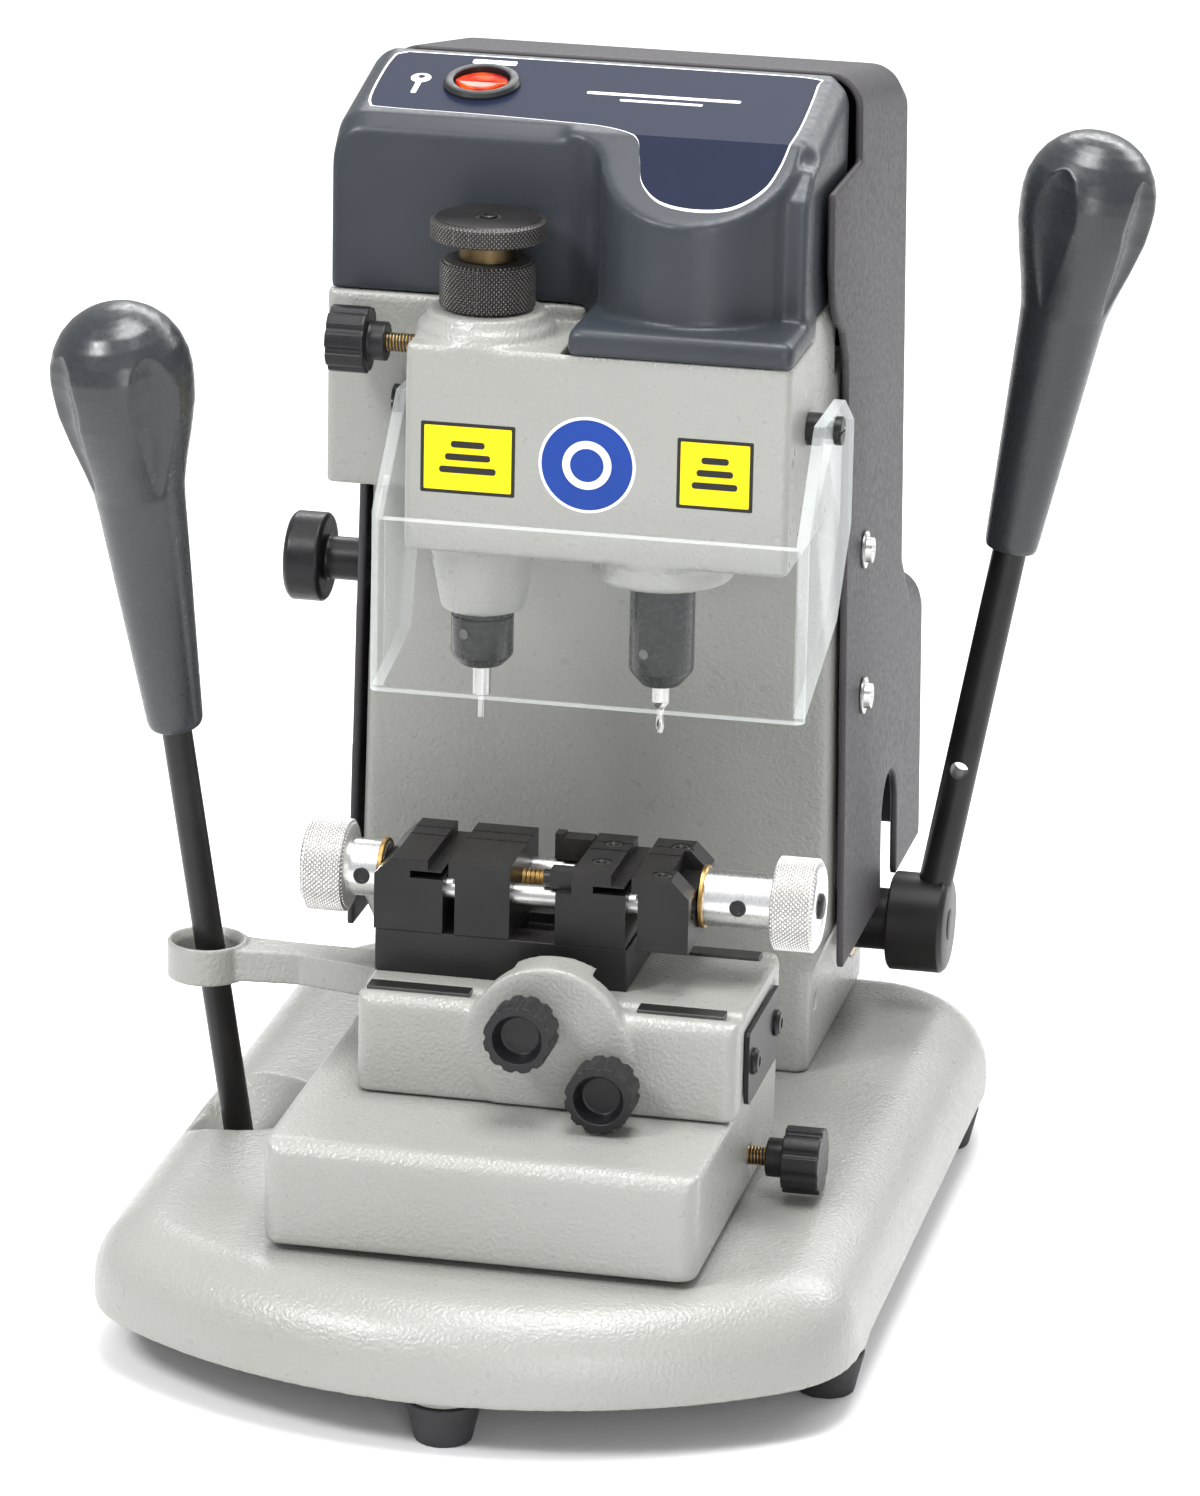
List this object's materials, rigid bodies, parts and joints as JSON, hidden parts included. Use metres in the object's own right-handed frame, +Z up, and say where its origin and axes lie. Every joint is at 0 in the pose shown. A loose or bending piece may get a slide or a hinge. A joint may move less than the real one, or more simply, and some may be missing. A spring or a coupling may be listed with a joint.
{
  "type": "key duplicating machine",
  "caption": "Bench key duplicating machine for dimple keys: two levers, sprung head with tracer and cutter, cross slides and twin key clamps",
  "frame": {"origin": "middle of the whole machine's outline, on the surface that the feet stand on", "axes": "+X to the operator's right, +Y away from the operator, towards the column, +Z up"},
  "size_m": [0.3256, 0.4154, 0.3958],
  "materials": {
    "grey_paint": "light grey stove enamel with a fine hammered texture",
    "cover_plastic": "fine grained dark grey moulding",
    "head_plastic": "satin blue-grey moulding",
    "grip_plastic": "satin blue-grey grip moulding",
    "black_plastic": "matt black moulding",
    "black_steel": "blackened ground steel",
    "bright_steel": "ground steel",
    "turned_aluminium": "turned and knurled",
    "brass": "turned",
    "clear_plastic": "clear polished sheet",
    "red_lens": "translucent red",
    "rubber": "matt",
    "cast_alloy": "as machined",
    "motor_enamel": "dark enamel"
  },
  "bodies": {
    "root": {"base_casting": "grey_paint", "rubber_feet": "rubber", "column_casting": "grey_paint", "frame_screws": "bright_steel", "back_cover": "cover_plastic", "guide_rails": "bright_steel", "shaft_bushes": "brass", "power_inlet": "black_plastic", "y_rails": "bright_steel"},
    "height_lock": {"height_lock_knob": "black_plastic"},
    "head": {"head_casting": "grey_paint", "head_cover": "head_plastic", "switch_bezel": "black_plastic", "carriage": "cast_alloy", "carriage_bushes": "brass", "gear_rack": "bright_steel", "motor": "motor_enamel", "drive_belt": "rubber", "spindle_bearings": "bright_steel", "adjuster_sleeve": "brass", "shield_screws": "black_steel"},
    "rocker": {"switch_rocker": "red_lens"},
    "motor_rotor": {"motor_pulley": "turned_aluminium"},
    "cutter_spindle": {"spindle": "bright_steel", "cutter_collet": "black_steel", "cutter": "bright_steel"},
    "tracer": {"tracer_quill": "bright_steel", "tracer_collet": "black_steel", "tracer_point": "bright_steel"},
    "tracer_nut_body": {"tracer_nut": "black_steel"},
    "tracer_disc_body": {"tracer_disc": "black_steel"},
    "tracer_lock": {"tracer_lock_knob": "black_plastic"},
    "guard": {"shield": "clear_plastic"},
    "feed_lever": {"feed_shaft": "black_steel", "pinion": "bright_steel", "lever_hub": "black_steel", "lever_rod": "black_steel", "right_grip": "grip_plastic"},
    "y_carriage": {"y_slide_casting": "grey_paint", "x_rails": "bright_steel"},
    "y_lock": {"y_lock_knob": "black_plastic"},
    "x_carriage": {"x_slide_casting": "grey_paint", "slide_arm": "grey_paint", "way_strips": "black_steel", "clamp_plate": "black_steel", "left_fixed_jaw": "black_steel", "right_fixed_jaw": "black_steel", "clamp_rods": "bright_steel", "key_stops": "black_steel", "right_clamp_stud": "brass"},
    "upper_knob": {"upper_front_knob": "black_plastic"},
    "lower_knob": {"lower_front_knob": "black_plastic"},
    "left_jaw": {"left_moving_jaw": "black_steel"},
    "left_knob": {"left_clamp_knob": "turned_aluminium", "left_draw_screw": "brass"},
    "right_jaw": {"right_moving_jaw": "black_steel"},
    "right_knob": {"right_clamp_knob": "turned_aluminium"},
    "stick_pivot": {"stick_ball": "bright_steel"},
    "stick": {"stick_rod": "black_steel", "left_grip": "grip_plastic"}
  },
  "joints": [
    {"name": "head_slide", "type": "slide", "parent": "root", "child": "head", "axis": [0, 0, -1], "range_m": [0, 0.0248], "stiffness_N_per_m": 1800, "springref_m": -0.1},
    {"name": "feed_lever_turn", "type": "hinge", "parent": "root", "child": "feed_lever", "pos_m": [-0.00962, 0.13025, 0.076], "axis": [1, 0, 0], "range_deg": [0, 60]},
    {"name": "rocker_tilt", "type": "hinge", "parent": "head", "child": "rocker", "pos_m": [-0.05162, 0.0339, 0.38677], "axis": [1, 0, 0], "range_deg": [-6, 6]},
    {"name": "spindle_spin", "type": "hinge", "parent": "head", "child": "cutter_spindle", "pos_m": [0.02388, -0.01775, 0.25], "axis": [0, 0, 1], "continuous": true},
    {"name": "motor_spin", "type": "hinge", "parent": "head", "child": "motor_rotor", "pos_m": [-0.05362, 0.11025, 0.33], "axis": [0, 0, 1], "continuous": true},
    {"name": "tracer_slide", "type": "slide", "parent": "head", "child": "tracer", "axis": [0, 0, 1], "range_m": [0, 0.003], "stiffness_N_per_m": 900, "springref_m": -0.006},
    {"name": "tracer_nut_turn", "type": "hinge", "parent": "head", "child": "tracer_nut_body", "pos_m": [-0.03712, -0.01775, 0.335], "axis": [0, 0, 1], "range_deg": [-180, 180]},
    {"name": "tracer_disc_turn", "type": "hinge", "parent": "head", "child": "tracer_disc_body", "pos_m": [-0.03712, -0.01775, 0.353], "axis": [0, 0, 1], "range_deg": [-180, 180]},
    {"name": "tracer_lock_turn", "type": "hinge", "parent": "head", "child": "tracer_lock", "pos_m": [-0.07962, -0.01775, 0.313], "axis": [1, 0, 0], "range_deg": [-180, 180]},
    {"name": "guard_tilt", "type": "hinge", "parent": "head", "child": "guard", "pos_m": [0.00538, -0.00875, 0.2915], "axis": [-1, 0, 0], "range_deg": [0, 70]},
    {"name": "height_lock_turn", "type": "hinge", "parent": "root", "child": "height_lock", "pos_m": [-0.10962, 0.06425, 0.213], "axis": [-1, 0, 0], "range_deg": [-90, 90]},
    {"name": "y_slide", "type": "slide", "parent": "root", "child": "y_carriage", "axis": [0, 1, 0], "range_m": [0, 0.043]},
    {"name": "y_lock_turn", "type": "hinge", "parent": "y_carriage", "child": "y_lock", "pos_m": [0.08538, -0.07475, 0.061], "axis": [1, 0, 0], "range_deg": [-90, 90]},
    {"name": "x_slide", "type": "slide", "parent": "y_carriage", "child": "x_carriage", "axis": [1, 0, 0], "range_m": [-0.018, 0.004]},
    {"name": "upper_knob_turn", "type": "hinge", "parent": "x_carriage", "child": "upper_knob", "pos_m": [0.00298, -0.12475, 0.116], "axis": [0, -1, 0], "range_deg": [-90, 90]},
    {"name": "lower_knob_turn", "type": "hinge", "parent": "x_carriage", "child": "lower_knob", "pos_m": [0.03008, -0.12475, 0.098], "axis": [0, -1, 0], "range_deg": [-90, 90]},
    {"name": "left_jaw_slide", "type": "slide", "parent": "x_carriage", "child": "left_jaw", "axis": [-1, 0, 0], "range_m": [-0.002, 0.002]},
    {"name": "left_knob_turn", "type": "hinge", "parent": "x_carriage", "child": "left_knob", "pos_m": [-0.06962, -0.06925, 0.1475], "axis": [-1, 0, 0], "range_deg": [-242, 242]},
    {"name": "right_jaw_slide", "type": "slide", "parent": "x_carriage", "child": "right_jaw", "axis": [-1, 0, 0], "range_m": [-0.002, 0.002]},
    {"name": "right_knob_turn", "type": "hinge", "parent": "right_jaw", "child": "right_knob", "pos_m": [0.07038, -0.06925, 0.1475], "axis": [1, 0, 0], "range_deg": [-242, 242]},
    {"name": "stick_fore_aft", "type": "hinge", "parent": "root", "child": "stick_pivot", "pos_m": [-0.11462, -0.03475, 0.03], "axis": [-1, 0, 0], "range_deg": [0, 33]},
    {"name": "stick_side", "type": "hinge", "parent": "stick_pivot", "child": "stick", "pos_m": [-0.11462, -0.03475, 0.03], "axis": [0, 1, 0], "range_deg": [-14, 4]}
  ],
  "couplings": [
    {"joint": "feed_lever_turn", "follows": "head_slide", "rad_per_m": 41.667},
    {"joint": "motor_spin", "follows": "spindle_spin", "ratio": 0.64286},
    {"joint": "left_knob_turn", "follows": "left_jaw_slide", "rad_per_m": 2094.4},
    {"joint": "right_knob_turn", "follows": "right_jaw_slide", "rad_per_m": 2094.4},
    {"joint": "stick_fore_aft", "follows": "y_slide", "rad_per_m": 13},
    {"joint": "stick_side", "follows": "x_slide", "rad_per_m": 12.9}
  ]
}
